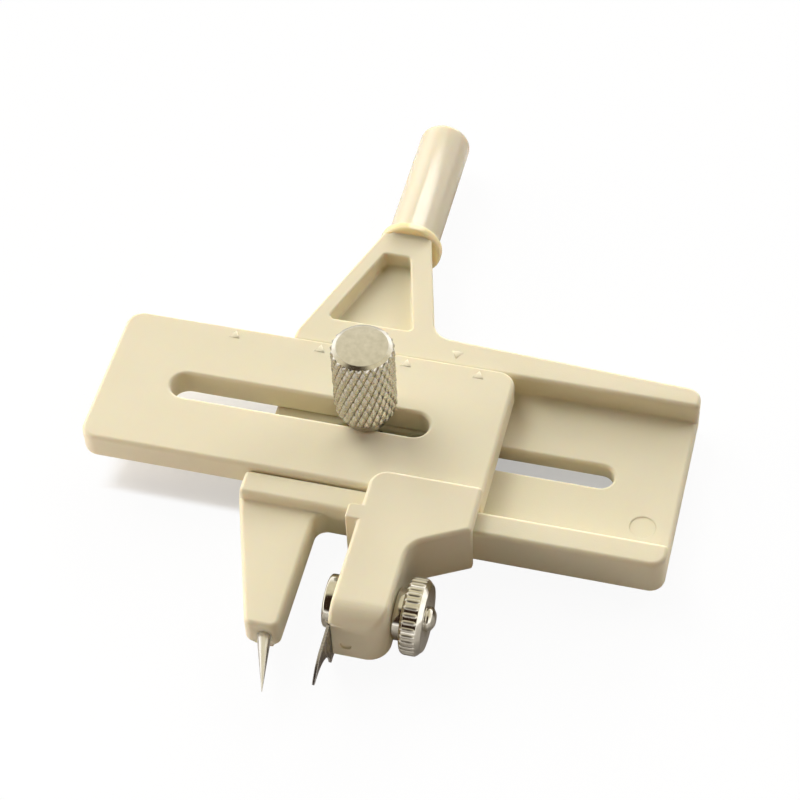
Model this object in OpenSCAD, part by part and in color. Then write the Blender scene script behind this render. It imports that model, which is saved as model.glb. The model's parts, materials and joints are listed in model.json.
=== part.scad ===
// Compass cutter: a needle leg and a blade arm on two slotted plates, locked by one thumb nut.
// Millimetres. The origin is on the spin axis where the finger stem leaves its flange.
// X runs along the plates, Y up the stem away from the needle, Z out of the plates' front.

/* [Frame plate] */
// Length of the channel plate along its rails
frame_len = 69.5; // [64:0.5:90]
// Spin axis from the left end of the plate
axis_inset = 13.5; // [12.5:0.25:16]
// Thickness of the channel floor
floor_t = 3.2; // [2.8:0.1:4.5]
// Height of the rails above the channel floor
rail_h = 4.3; // [3.6:0.1:5]
// Width of the lower rail
lower_rail_w = 4.6; // [3.4:0.1:6]
// Width of the upper rail at the web
upper_rail_w = 6.2; // [5:0.1:8]
// Width of the upper rail at its free end
upper_rail_end_w = 4; // [3.4:0.1:4.8]
// Radius of the plate's free corners
frame_corner_r = 2.5; // [1:0.1:3.2]
// Ends of the frame's slot from the ends of the plate
frame_slot_inset = 11.4; // [10:0.1:13]
// Width of the moulding-pin mark on the channel floor
pin_mark_d = 4.2; // [2:0.1:6]
// Depth of the moulding-pin mark
pin_mark_depth = 0.12; // [0.05:0.01:0.3]
// Centre of the moulding-pin mark from the plate's right end
pin_mark_inset = 5.1; // [4:0.1:8]
// Centre of the moulding-pin mark above the lower rail
pin_mark_rise = 5.6; // [3.5:0.1:7]

/* [Web and handle] */
// Channel centre line to the top of the handle's flange
flange_reach = 43.7; // [40:0.1:50]
// Reach of the web under the flange, left of the spin axis
web_top_left = 4.6; // [3.6:0.1:5]
// Reach of the web under the flange, right of the spin axis
web_top_right = 4.1; // [3.4:0.1:5]
// Height of the web's left end above the channel
web_heel = 2.4; // [1.6:0.1:3]
// Rounding of the web's left end
web_heel_r = 6; // [2:0.5:8]
// Foot of the web's right edge from the spin axis
web_foot = 9.8; // [8.5:0.1:14]
// Fillet between the web and the upper rail
web_fillet_r = 3.5; // [1:0.1:5]
// Width of the web's left rib
web_left_rib = 2.9; // [1.6:0.1:3.2]
// Width of the web's right rib
web_right_rib = 3.8; // [2:0.1:4.2]
// Height of the solid bar between the recess and the flange
web_top_bar = 4.7; // [4.6:0.1:8]
// Depth of the web's recess
web_recess_depth = 3; // [1:0.1:4.2]
// Diameter of the finger stem
stem_d = 9.2; // [7:0.1:10.4]
// Length of the stem above its flange
stem_len = 26.8; // [15:0.1:45]
// Rounding of the stem's end
stem_end_r = 1.2; // [0.4:0.1:3]
// Diameter of the handle's flange
flange_d = 11.2; // [10.6:0.1:14]
// Thickness of the handle's flange
flange_t = 1.9; // [1:0.1:2.4]
// Diameter of the handle's spigot
spigot_d = 5; // [3:0.1:5.6]
// Length of the handle's spigot
spigot_len = 3.5; // [2:0.1:4]

/* [Needle leg] */
// Length of the leg below the lower rail
leg_len = 23; // [15:0.1:35]
// Thickness of the leg
leg_t = 5.5; // [5:0.1:7]
// Width of the leg's end
leg_end_w = 5.4; // [4.4:0.1:7]
// Right side of the leg from the spin axis
leg_side = 0.5; // [0.2:0.1:1.5]
// Rounding of the corners of the leg's end
leg_end_r = 1.4; // [0.4:0.1:2]
// Fillet between the leg and the lower rail
leg_fillet_r = 2; // [0.6:0.1:4]
// Diameter of the needle
needle_d = 2.1; // [1.2:0.1:2.4]
// Needle from the leg's right side where it leaves the leg
needle_inset = 2.3; // [1.8:0.1:2.9]
// Length of the needle that shows
needle_out = 11.1; // [8:0.1:16]
// Length of the needle's ground point
needle_point = 10; // [5:0.1:10.5]
// Length of the needle inside the leg
needle_in = 12; // [6:0.1:13]

/* [Slider plate] */
// Length of the slider plate
slider_len = 68; // [62:0.5:80]
// Width of the slider plate across the channel
slider_w = 28.2; // [24:0.1:32]
// Thickness of the slider plate
slider_t = 5.1; // [4.6:0.1:6.5]
// Radius of the slider's corners
slider_corner_r = 2.8; // [1:0.1:4]
// Width of the slider's slot
slider_slot_w = 5; // [4.6:0.1:5.8]
// Ends of the slider's slot from the ends of the plate
slider_slot_inset = 11.8; // [10:0.1:13.5]
// Radius of the circle that is set in the rest pose
set_radius = 7.6; // [6:0.1:10]

/* [Index marks] */
// Width of an index mark
mark_w = 2.2; // [1.4:0.1:3]
// Height of an index mark from base to point
mark_h = 1.9; // [1.4:0.1:2.6]
// How far an index mark stands out of its face
mark_rise = 0.1; // [0.05:0.05:0.5]
// First index mark from the slider's left end
first_mark = 19.3; // [12:0.1:24]
// Spacing of the first three index marks
mark_pitch = 15; // [8:0.1:16]
// Last index mark from the slider's right end
last_mark = 6.3; // [4.5:0.1:9]
// Points of the slider's marks below the slider's top edge
mark_inset = 0.5; // [0.2:0.1:2]
// Frame's mark from the spin axis
frame_mark_x = 14.5; // [13:0.1:24]
// Point of the frame's mark above the channel
frame_mark_inset = 1.5; // [0.6:0.1:2.2]

/* [Blade arm] */
// Width of the block across the slider's lower right corner
block_w = 18.15; // [15:0.05:24]
// How far the block stands out of the slider's front
block_rise = 2; // [1.2:0.1:4]
// How far the block laps up over the slider plate
block_lap = 2.5; // [1.5:0.1:6]
// Radius of the block's upper left corner
block_corner_r = 3; // [1:0.1:4]
// Width of the arm
arm_w = 9.2; // [7:0.1:11]
// Length of the arm below the lower rail
arm_len = 22.2; // [21.5:0.1:32]
// Radius of the arm's lower right corner
arm_end_r = 3.5; // [1:0.1:4]
// Radius of the arm's lower left corner
arm_left_r = 0.8; // [0.3:0.1:1.5]
// Rounding of the arm's lower front edge
arm_front_r = 4; // [0.5:0.1:4]
// Width of the moulding gate's mark in the arm's end
gate_d = 1.8; // [1:0.1:2.4]
// Depth of the gate's mark
gate_depth = 0.4; // [0.1:0.1:0.8]
// Middle of the gate's mark from the arm's left side
gate_inset = 2.8; // [2.2:0.1:4]
// Middle of the gate's mark from the arm's back
gate_rise = 2.9; // [1.6:0.1:4]
// Thickness of the hook under the rail at its free end
hook_t = 1.2; // [0.8:0.1:2.5]
// Thickness of the hook at the arm
hook_root_t = 5.9; // [3.5:0.1:7]
// Fillet between the hook and the arm
hook_fillet_r = 4; // [1:0.1:5]
// How far the guide lug stands out to the left of the arm
lug_w = 2; // [0.8:0.1:2.6]
// Height of the guide lug
lug_h = 3; // [1.5:0.1:5]
// Rounding of the lug's upper corner
lug_r = 0.7; // [0.2:0.1:0.8]

/* [Blade and its clamp] */
// Clamp axis below the lower rail
clamp_drop = 15; // [13:0.1:15.2]
// Thickness of the blade
blade_t = 0.5; // [0.3:0.05:0.9]
// Width of the blade
blade_w = 9; // [8.2:0.1:10]
// Front edge of the blade from the clamp axis
blade_front = 3.8; // [3.2:0.1:4.4]
// Tip of the blade below the clamp axis
blade_reach = 16.5; // [14:0.1:20]
// Tip of the blade in front of the clamp axis
blade_tip_front = 1.1; // [0:0.1:2]
// Rear point of the blade below the clamp axis
blade_heel = 8; // [7.4:0.1:10]
// Depth of the hollow between the blade's two points
blade_hollow = 2.35; // [1:0.05:3]
// Top of the blade above the clamp axis
blade_tang = 5.5; // [4:0.1:6.5]
// Diameter of the blade screw
screw_d = 4; // [3:0.1:5]
// Diameter of the blade screw's head
screw_head_d = 8.6; // [7:0.1:11]
// Thickness of the blade screw's head
screw_head_t = 1.9; // [1.2:0.1:2.6]
// Chamfer of the blade screw's head
screw_head_chamfer = 0.3; // [0.2:0.1:1]
// Length of the blade screw beyond its nut
screw_end = 1; // [0.8:0.1:3]
// Diameter of the blade nut's hub
hub_d = 8.4; // [6.5:0.1:10]
// Thickness of the blade nut's hub
hub_t = 1.5; // [0.6:0.1:3]
// Diameter of the blade nut's toothed rim
rim_d = 12.4; // [11:0.1:13.6]
// Thickness of the blade nut's toothed rim
rim_t = 3.5; // [2:0.1:4.4]
// Number of teeth on the rim
rim_teeth = 32; // [24:1:44]
// Depth of the rim's teeth
tooth_depth = 0.35; // [0.2:0.05:0.5]
// Chamfer of the rim's two edges
rim_chamfer = 0.6; // [0.3:0.1:0.9]

/* [Clamp bolt and thumb nut] */
// Clamp bolt from the spin axis in the rest pose
bolt_x = 3.2; // [2.2:0.1:8]
// Diameter of the clamp bolt
bolt_d = 4; // [3.4:0.1:4.4]
// Diameter of the bolt's round head behind the frame
bolt_head_d = 8.4; // [7:0.1:10]
// Height of the bolt's head
bolt_head_h = 1.9; // [1.4:0.1:2.4]
// Chamfer of the bolt's head
bolt_head_chamfer = 0.7; // [0.3:0.1:1]
// Height of the bolt's square neck, which keeps it from turning in the frame's slot
neck_h = 2.7; // [1.5:0.1:2.7]
// Length of bolt inside the thumb nut
bolt_grip = 10; // [5:0.1:13]
// Diameter of the knurled body of the thumb nut
knob_d = 10.5; // [8:0.1:14]
// Height of the knurled body of the thumb nut
knob_h = 14.7; // [12:0.1:20]
// Chamfer round the top of the thumb nut
knob_chamfer = 1; // [0.3:0.1:1.5]
// Diameter of the thumb nut's plain shoulder
shoulder_d = 7.2; // [6.6:0.1:9]
// Height of the thumb nut's plain shoulder
shoulder_h = 2.8; // [1:0.1:4]

/* [Clearances] */
// Under the slider, to the channel floor
slide_gap = 0.1; // [0.05:0.01:0.2]
// Beside the slider, to each rail
side_gap = 0.2; // [0.1:0.05:0.4]
// Between the hook and the lower rail
hook_gap = 0.3; // [0.2:0.05:0.6]
// Beside the bolt in the frame's slot
slot_gap = 0.2; // [0.1:0.05:0.4]
// Beside the bolt's square neck in the frame's slot
neck_gap = 0.14; // [0.1:0.01:0.16]
// Under the faces of nuts and heads
seat_gap = 0.05; // [0.02:0.01:0.1]
// Round the threads of bolt and screw
thread_gap = 0.05; // [0.02:0.01:0.1]
// Round the blade screw in the arm and in the blade
screw_gap = 0.08; // [0.05:0.01:0.1]
// Beside the blade in its groove
blade_gap = 0.1; // [0.05:0.01:0.2]
// Round pressed-in pins
press_gap = 0.02; // [0.01:0.01:0.04]

/* [Hidden] */
$fn = 72;

plastic = "#E7DDBD";
handle_plastic = "#EEE5CB";
nickel = "#CFCABB";
steel = "#B9B9B5";

// Overlap of a cutting shape past the face that it opens
past = 1;
// How far a round runs past its two edges, so that it meets them in clear points
round_lap = 0.002;
// Rounding of the recess corners in the web
recess_r = 0.8;

// Frame, from the back of the plate to the front of its rails
frame_t = floor_t + rail_h;
z_back = -frame_t / 2;
z_floor = z_back + floor_t;
z_front = frame_t / 2;
x_left = -axis_inset;
x_right = frame_len - axis_inset;
channel_w = slider_w + 2 * side_gap;
y_mid = -flange_reach;
y_lower_in = y_mid - channel_w / 2;
y_lower = y_lower_in - lower_rail_w;
y_upper_in = y_mid + channel_w / 2;
y_upper = y_upper_in + upper_rail_w;
y_upper_end = y_upper_in + upper_rail_end_w;
frame_slot_w = bolt_d + 2 * slot_gap;
frame_slot_from = x_left + frame_slot_inset;
frame_slot_to = x_right - frame_slot_inset;

// Web between the upper rail and the flange
y_web_top = -flange_t;
y_heel = y_upper_in + web_heel;
web_left_slope = (axis_inset - web_top_left) / (y_web_top - y_heel);
web_right_slope = (web_top_right - web_foot) / (y_web_top - y_upper);
function web_left(y) = x_left + (y - y_heel) * web_left_slope;
function web_right(y) = web_foot + (y - y_upper) * web_right_slope;
left_rib_x = web_left_rib * norm([1, web_left_slope]);
right_rib_x = web_right_rib * norm([1, web_right_slope]);

// Leg and needle: the needle leaves the middle of the leg's thickness and leans so that its tip is on the spin axis
y_leg_end = y_lower - leg_len;
needle_foot = [-leg_side - needle_inset, y_leg_end, z_back + leg_t / 2];
needle_fall = sqrt(pow(needle_out, 2) - pow(needle_foot[0], 2) - pow(needle_foot[2], 2));
needle_aim = [-needle_foot[0], -needle_fall, -needle_foot[2]];

// Slider, placed by the radius that is set
x_arm = set_radius - blade_t / 2;
x_arm_right = x_arm + arm_w;
x_slider_right = x_arm + block_w;
x_slider_left = x_slider_right - slider_len;
y_slider_top = y_mid + slider_w / 2;
y_slider_low = y_mid - slider_w / 2;
z_slider = z_floor + slide_gap;
z_slider_front = z_slider + slider_t;
z_block = z_slider_front + block_rise;
slider_marks = [first_mark, first_mark + mark_pitch, first_mark + 2 * mark_pitch, slider_len - last_mark];

// Hook, lug and arm below the lower rail
z_hook_front = z_front + hook_gap;
y_hook = y_lower - hook_gap;
y_arm_end = y_lower - arm_len;
y_clamp = y_lower - clamp_drop;

// Clamp bolt: its head lies on the frame's back and its square neck fills the frame's slot
z_bolt_head = z_back - seat_gap;
neck_w = frame_slot_w - 2 * neck_gap;

// Thumb nut stands on the slider's front
z_nut = z_slider_front + seat_gap;

// Blade nut stands on the arm's right side
x_hub = x_arm_right + seat_gap;
x_rim = x_hub + hub_t;
x_nut_end = x_rim + rim_t;

function unit(v) = v / norm(v);

// The piece between corner b, with neighbours a and c, and a round of radius r; it runs a little past the corner
module spandrel(a, b, c, r) {
    u = unit(a - b);
    v = unit(c - b);
    half = acos(u * v) / 2;
    middle = b + unit(u + v) * r / sin(half);
    difference() {
        polygon([b - unit(u + v) * r / 4, b + u * r / tan(half), middle, b + v * r / tan(half)]);
        translate(middle) circle(r + round_lap);
    }
}

// Outline with rounded corners: a positive radius rounds an outer corner, a negative one fills an inner corner
module soft_polygon(points, radii) {
    n = len(points);
    difference() {
        union() {
            polygon(points);
            for (i = [0 : n - 1])
                if (radii[i] < 0)
                    spandrel(points[(i + n - 1) % n], points[i], points[(i + 1) % n], -radii[i]);
        }
        for (i = [0 : n - 1])
            if (radii[i] > 0)
                spandrel(points[(i + n - 1) % n], points[i], points[(i + 1) % n], radii[i]);
    }
}

// Slot outline along X between two ends, with round ends
module slot(from, to, w) {
    translate([from + w / 2, -w / 2]) square([to - from - w, w]);
    translate([from + w / 2, 0]) circle(d = w);
    translate([to - w / 2, 0]) circle(d = w);
}

// Raised triangle whose point is at the origin and whose base lies towards -Y
module index_mark() {
    linear_extrude(mark_rise)
        polygon([[0, 0], [-mark_w / 2, -mark_h], [mark_w / 2, -mark_h]]);
}

// Things along the needle, from the leg's end (0) towards the point (+Z)
module along_needle() {
    translate(needle_foot)
        rotate([0, acos(needle_aim[2] / needle_out), atan2(needle_aim[1], needle_aim[0])]) children();
}

// Things along the blade clamp, from the arm's left side (0) towards the nut (+Z)
module along_clamp(x) {
    translate([x, y_clamp, 0]) rotate([0, 90, 0]) children();
}

// Front view of plate and web together
module frame_outline() {
    soft_polygon(
        [[x_left, y_lower], [x_right, y_lower], [x_right, y_upper_end], [web_foot, y_upper],
         [web_top_right, y_web_top], [-web_top_left, y_web_top], [x_left, y_heel]],
        [0, frame_corner_r, frame_corner_r, -web_fillet_r, 0, 0, web_heel_r]);
}

module leg_outline() {
    fillet_end = -leg_side + 2 * leg_fillet_r;
    soft_polygon(
        [[x_left, y_lower + past], [x_left, y_lower], [-leg_side - leg_end_w, y_leg_end],
         [-leg_side, y_leg_end], [-leg_side, y_lower], [fillet_end, y_lower],
         [fillet_end, y_lower + past]],
        [0, 0, leg_end_r, leg_end_r, -leg_fillet_r, 0, 0]);
}

module web_recess_outline() {
    low = y_upper;
    high = y_web_top - web_top_bar;
    soft_polygon(
        [[web_left(low) + left_rib_x, low], [web_right(low) - right_rib_x, low],
         [web_right(high) - right_rib_x, high], [web_left(high) + left_rib_x, high]],
        [recess_r, recess_r, recess_r, recess_r]);
}

module frame() {
    color(plastic)
    difference() {
        union() {
            translate([0, 0, z_back]) linear_extrude(floor_t) frame_outline();
            translate([0, 0, z_back]) linear_extrude(frame_t) difference() {
                frame_outline();
                translate([x_left - past, y_lower_in]) square([frame_len + 2 * past, channel_w]);
            }
            translate([0, 0, z_back]) linear_extrude(leg_t) leg_outline();
            translate([frame_mark_x, y_upper_in + frame_mark_inset, z_front]) rotate(180) index_mark();
        }
        translate([0, 0, z_front - web_recess_depth])
            linear_extrude(web_recess_depth + past) web_recess_outline();
        translate([0, y_mid, z_back - past])
            linear_extrude(frame_t) slot(frame_slot_from, frame_slot_to, frame_slot_w);
        translate([x_right - pin_mark_inset, y_lower_in + pin_mark_rise, z_floor - pin_mark_depth])
            cylinder(d = pin_mark_d, h = past);
        translate([0, y_web_top + past, 0]) rotate([90, 0, 0])
            cylinder(d = spigot_d + 2 * press_gap, h = spigot_len + press_gap + past);
        along_needle() translate([0, 0, -needle_in - press_gap])
            cylinder(d = needle_d + 2 * press_gap, h = needle_in + past + needle_d);
    }
}

module handle() {
    color(handle_plastic) rotate([-90, 0, 0]) {
        rotate_extrude() {
            square([stem_d / 2 - stem_end_r, stem_len]);
            square([stem_d / 2, stem_len - stem_end_r]);
            translate([stem_d / 2 - stem_end_r, stem_len - stem_end_r]) circle(stem_end_r);
        }
        translate([0, 0, -flange_t]) cylinder(d = flange_d, h = flange_t);
        translate([0, 0, -flange_t - spigot_len]) cylinder(d = spigot_d, h = spigot_len + flange_t);
    }
}

module needle() {
    color(steel) along_needle() {
        translate([0, 0, -needle_in]) cylinder(d = needle_d, h = needle_in + needle_out - needle_point);
        translate([0, 0, needle_out - needle_point]) cylinder(d1 = needle_d, d2 = 0, h = needle_point);
    }
}

module slider_plate() {
    translate([0, 0, z_slider]) linear_extrude(slider_t) difference() {
        soft_polygon(
            [[x_slider_left, y_slider_low], [x_slider_right, y_slider_low],
             [x_slider_right, y_slider_top], [x_slider_left, y_slider_top]],
            [slider_corner_r, 0, slider_corner_r, slider_corner_r]);
        translate([0, y_mid])
            slot(x_slider_left + slider_slot_inset, x_slider_right - slider_slot_inset, slider_slot_w);
    }
    for (mark = slider_marks)
        translate([x_slider_left + mark, y_slider_top - mark_inset, z_slider_front]) index_mark();
}

// Block and arm in front of the rail, from above the rail's face outwards
module block_outline() {
    soft_polygon(
        [[x_arm, y_arm_end], [x_arm_right, y_arm_end], [x_arm_right, y_hook - hook_root_t],
         [x_slider_right, y_hook - hook_t], [x_slider_right, y_slider_low + block_lap],
         [x_arm, y_slider_low + block_lap]],
        [arm_left_r, arm_end_r, -hook_fillet_r, 0, 0, block_corner_r]);
}

// Arm, hook and lug under the rail, through the whole depth
module hook_outline() {
    soft_polygon(
        [[x_arm, y_arm_end], [x_arm_right, y_arm_end], [x_arm_right, y_hook - hook_root_t],
         [x_slider_right, y_hook - hook_t], [x_slider_right, y_hook], [x_arm - lug_w, y_hook],
         [x_arm - lug_w, y_hook - lug_h], [x_arm, y_hook - lug_h]],
        [arm_left_r, arm_end_r, -hook_fillet_r, 0, 0, lug_r, 0, 0]);
}

module slider() {
    color(plastic)
    difference() {
        union() {
            slider_plate();
            translate([0, 0, z_hook_front]) linear_extrude(z_block - z_hook_front) block_outline();
            translate([0, 0, z_back]) linear_extrude(z_block - z_back) hook_outline();
        }
        translate([x_arm - past, 0, 0]) rotate([90, 0, 90]) linear_extrude(arm_w + 2 * past)
            spandrel([y_lower, z_block], [y_arm_end, z_block], [y_arm_end, z_back], arm_front_r);
        along_clamp(x_arm - past) cylinder(d = screw_d + 2 * screw_gap, h = arm_w + 2 * past);
        translate([x_arm + gate_inset, y_arm_end - past, z_back + gate_rise]) rotate([-90, 0, 0])
            cylinder(d = gate_d, h = gate_depth + past);
        translate([x_arm - past, y_arm_end - past, blade_front - blade_w - past])
            cube([past + blade_t + seat_gap, y_clamp + blade_tang + blade_gap - y_arm_end + past,
                  blade_w + blade_gap + past]);
    }
}

module clamp_bolt() {
    color(nickel) translate([bolt_x, y_mid, z_bolt_head]) {
        translate([0, 0, -bolt_head_h])
            cylinder(d1 = bolt_head_d - 2 * bolt_head_chamfer, d2 = bolt_head_d, h = bolt_head_chamfer);
        translate([0, 0, bolt_head_chamfer - bolt_head_h])
            cylinder(d = bolt_head_d, h = bolt_head_h - bolt_head_chamfer);
        translate([-neck_w / 2, -neck_w / 2, -bolt_head_h / 2]) cube([neck_w, neck_w, neck_h + bolt_head_h / 2]);
        translate([0, 0, -bolt_head_h / 2]) cylinder(d = bolt_d, h = z_nut + bolt_grip - z_bolt_head + bolt_head_h / 2);
    }
}

module thumb_nut() {
    color(nickel) translate([bolt_x, y_mid, z_nut]) difference() {
        union() {
            cylinder(d = shoulder_d, h = shoulder_h + past);
            translate([0, 0, shoulder_h]) cylinder(d = knob_d, h = knob_h - knob_chamfer);
            translate([0, 0, shoulder_h + knob_h - knob_chamfer])
                cylinder(d1 = knob_d, d2 = knob_d - 2 * knob_chamfer, h = knob_chamfer);
        }
        translate([0, 0, -past]) cylinder(d = bolt_d + 2 * thread_gap, h = bolt_grip + thread_gap + past);
    }
}

// Side view of the blade about the clamp axis: first number up the arm, second out of the front
module blade_outline() {
    tip = [-blade_reach, blade_tip_front];
    heel = [-blade_heel, blade_front - blade_w];
    chord = tip - heel;
    across = unit([-chord[1], chord[0]]);
    hollow_r = (chord * chord / 4 + blade_hollow * blade_hollow) / (2 * blade_hollow);
    belly_drop = blade_reach - blade_heel;
    difference() {
        polygon([[blade_tang, blade_front], [blade_tang, heel[1]], heel, tip,
                 [tip[0] + belly_drop / 4, tip[1] + (blade_front - tip[1]) * 0.63],
                 [tip[0] + belly_drop / 2, tip[1] + (blade_front - tip[1]) * 0.89],
                 [heel[0], blade_front]]);
        translate((tip + heel) / 2 - across * (blade_hollow - hollow_r)) circle(hollow_r);
        circle(d = screw_d + 2 * screw_gap);
        translate([0, -screw_d / 2 - screw_gap])
            square([blade_tang + past, screw_d + 2 * screw_gap]);
    }
}

module blade() {
    color(steel) translate([x_arm, y_clamp, 0]) rotate([90, 0, 90]) linear_extrude(blade_t) blade_outline();
}

module blade_screw() {
    color(nickel) {
        along_clamp(x_arm - seat_gap - screw_head_t)
            cylinder(d1 = screw_head_d - 2 * screw_head_chamfer, d2 = screw_head_d, h = screw_head_chamfer);
        along_clamp(x_arm - seat_gap - screw_head_t + screw_head_chamfer)
            cylinder(d = screw_head_d, h = screw_head_t - screw_head_chamfer);
        along_clamp(x_arm - seat_gap - screw_head_t)
            cylinder(d = screw_d, h = x_nut_end + screw_end / 2 - x_arm + seat_gap + screw_head_t);
        along_clamp(x_nut_end + screw_end / 2) cylinder(d1 = screw_d, d2 = screw_d - screw_end, h = screw_end / 2);
    }
}

// Toothed outline of the blade nut's rim
module rim_outline() {
    polygon([for (i = [0 : rim_teeth - 1], side = [0 : 3])
        let (a = (i + [0.12, 0.38, 0.62, 0.88][side]) * 360 / rim_teeth,
             r = rim_d / 2 - (side == 0 || side == 3 ? tooth_depth : 0))
        r * [cos(a), sin(a)]]);
}

module blade_nut() {
    chamfer_narrow = rim_d - 2 * rim_chamfer;
    chamfer_wide = chamfer_narrow + 2 * rim_t;
    color(nickel) difference() {
        union() {
            along_clamp(x_hub) cylinder(d = hub_d, h = hub_t + past);
            along_clamp(x_rim) intersection() {
                linear_extrude(rim_t) rim_outline();
                cylinder(d1 = chamfer_narrow, d2 = chamfer_wide, h = rim_t);
                cylinder(d1 = chamfer_wide, d2 = chamfer_narrow, h = rim_t);
            }
        }
        along_clamp(x_hub - past) cylinder(d = screw_d + 2 * thread_gap, h = hub_t + rim_t + 2 * past);
    }
}

frame();
handle();
needle();
slider();
clamp_bolt();
thumb_nut();
blade();
blade_screw();
blade_nut();
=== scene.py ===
# %% [markdown]
# # A compass cutter, dressed for its portrait
#
# The tool cuts discs out of card. Two beige mouldings slide along each other, a knurled thumb nut
# locks them, a needle marks the centre and a small blade cuts. The solids come from the packed
# model. This lesson gives them moulded edges, knurling, ground metal and a studio.
#
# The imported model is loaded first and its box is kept, because the finished looks may not grow
# past it. Everything is in metres, in the frame of the tool: X along the plates, Y up the stem,
# Z out of the plates' front.

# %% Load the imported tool
import json
import math

import bmesh
import bpy
from mathutils import Matrix, Vector

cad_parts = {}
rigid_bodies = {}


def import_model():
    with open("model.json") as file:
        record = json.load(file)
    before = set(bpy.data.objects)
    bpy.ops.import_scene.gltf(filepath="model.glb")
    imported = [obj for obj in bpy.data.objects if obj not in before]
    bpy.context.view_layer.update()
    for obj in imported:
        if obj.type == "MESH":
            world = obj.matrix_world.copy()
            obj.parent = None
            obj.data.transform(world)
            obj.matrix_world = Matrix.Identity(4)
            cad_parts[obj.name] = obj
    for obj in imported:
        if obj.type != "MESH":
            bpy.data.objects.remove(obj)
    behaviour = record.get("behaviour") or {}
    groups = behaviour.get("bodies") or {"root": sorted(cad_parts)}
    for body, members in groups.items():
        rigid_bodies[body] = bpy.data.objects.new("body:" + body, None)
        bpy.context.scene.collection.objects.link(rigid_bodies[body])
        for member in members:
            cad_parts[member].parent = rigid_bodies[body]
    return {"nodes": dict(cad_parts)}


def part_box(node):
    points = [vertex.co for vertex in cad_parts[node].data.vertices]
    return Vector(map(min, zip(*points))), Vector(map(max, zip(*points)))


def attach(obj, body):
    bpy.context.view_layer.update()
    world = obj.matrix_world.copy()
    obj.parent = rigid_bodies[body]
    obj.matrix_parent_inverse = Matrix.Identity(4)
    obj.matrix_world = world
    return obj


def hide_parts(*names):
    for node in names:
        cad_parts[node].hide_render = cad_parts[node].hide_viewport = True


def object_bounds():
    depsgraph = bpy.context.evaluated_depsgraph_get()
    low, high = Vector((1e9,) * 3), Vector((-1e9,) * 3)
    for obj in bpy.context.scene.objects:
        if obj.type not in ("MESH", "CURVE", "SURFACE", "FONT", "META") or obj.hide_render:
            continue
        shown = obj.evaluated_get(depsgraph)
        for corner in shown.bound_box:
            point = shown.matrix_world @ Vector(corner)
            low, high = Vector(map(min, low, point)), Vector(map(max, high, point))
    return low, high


for leftover in list(bpy.data.objects):
    bpy.data.objects.remove(leftover)

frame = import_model()
nodes = frame["nodes"]
cad_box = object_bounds()
MM = 0.001
scene = bpy.context.scene
print("nodes:", ", ".join(sorted(nodes)))

# %% [markdown]
# ## The camera
#
# The photograph looks down on the plates from the needle's side, a little from the right, with a
# long lens. A camera can be turned by hand until it fits; here its place, its aim and its small
# roll were worked out from the straight edges of the plates, so the render lines up with the photo.

# %% Camera at the photograph's angle
camera_at = Vector((0.0760, -0.2736, 0.2979))
aim_at = Vector((0.0024, -0.0398, 0.0))
camera_roll = math.radians(-3.9)

camera_data = bpy.data.cameras.new("portrait")
camera_data.sensor_width = 36
camera_data.lens = 103.74
camera_data.shift_x = 0.0384
camera_data.shift_y = 0.0189
camera = bpy.data.objects.new("portrait", camera_data)
scene.collection.objects.link(camera)
look = (aim_at - camera_at).to_track_quat("-Z", "Y").to_matrix().to_4x4()
camera.matrix_world = Matrix.Translation(camera_at) @ look @ Matrix.Rotation(camera_roll, 4, "Z")
scene.camera = camera
print("camera is", round((aim_at - camera_at).length / MM), "mm from its aim")

# %% [markdown]
# ## A helper for nodes
#
# Finishes and Geometry Nodes trees are both made of nodes, and adding one by hand takes several
# lines. These helpers add a node and feed its sockets in one line: a socket gets a link where the
# value is another node's output, and a plain value otherwise.

# %% Node helpers
def feed(tree, socket, value):
    if isinstance(value, bpy.types.NodeSocket):
        tree.links.new(value, socket)
    else:
        socket.default_value = value


def add_node(tree, kind, settings=None, **inputs):
    node = tree.nodes.new(kind)
    for key, value in (settings or {}).items():
        setattr(node, key, value)
    for key, value in inputs.items():
        feed(tree, node.inputs[key.replace("_", " ")], value)
    return node


def calc(tree, operation, *values):
    node = add_node(tree, "ShaderNodeMath", {"operation": operation})
    for socket, value in zip(node.inputs, values):
        feed(tree, socket, value)
    return node.outputs[0]


def join_xyz(tree, x, y, z):
    return add_node(tree, "ShaderNodeCombineXYZ", X=x, Y=y, Z=z).outputs[0]


def split_xyz(tree, where):
    return add_node(tree, "ShaderNodeSeparateXYZ", Vector=where).outputs


def link(tree, source, node, socket):
    tree.links.new(source, node.inputs[socket])


print("helpers for nodes are ready")

# %% [markdown]
# ## A helper for finishes
#
# Every finish here is a Principled shader with a few texture nodes in front of it. The textures
# read Object coordinates, which are metres on the piece itself, so a scale of 1000 gives features
# of about a millimetre. Noise values lie mostly between 0.3 and 0.7 and are spread from there.

# %% Finish helpers
def new_finish(name, colour, roughness, metallic=0.0):
    material = bpy.data.materials.new(name)
    material.use_nodes = True
    shader = material.node_tree.nodes["Principled BSDF"]
    shader.inputs["Base Color"].default_value = (*colour, 1.0)
    shader.inputs["Roughness"].default_value = roughness
    shader.inputs["Metallic"].default_value = metallic
    return material, material.node_tree, shader


def place_on_piece(tree, centre=(0, 0, 0), stretch=(1, 1, 1)):
    coordinates = tree.nodes.new("ShaderNodeTexCoord")
    moved = tuple(-c * s for c, s in zip(centre, stretch))
    mapping = add_node(
        tree, "ShaderNodeMapping", {"vector_type": "POINT"},
        Vector=coordinates.outputs["Object"], Location=moved, Scale=stretch,
    )
    return mapping.outputs["Vector"]


def noise(tree, where, scale, detail=3.0):
    return add_node(tree, "ShaderNodeTexNoise", Vector=where, Scale=scale, Detail=detail).outputs["Fac"]


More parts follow.
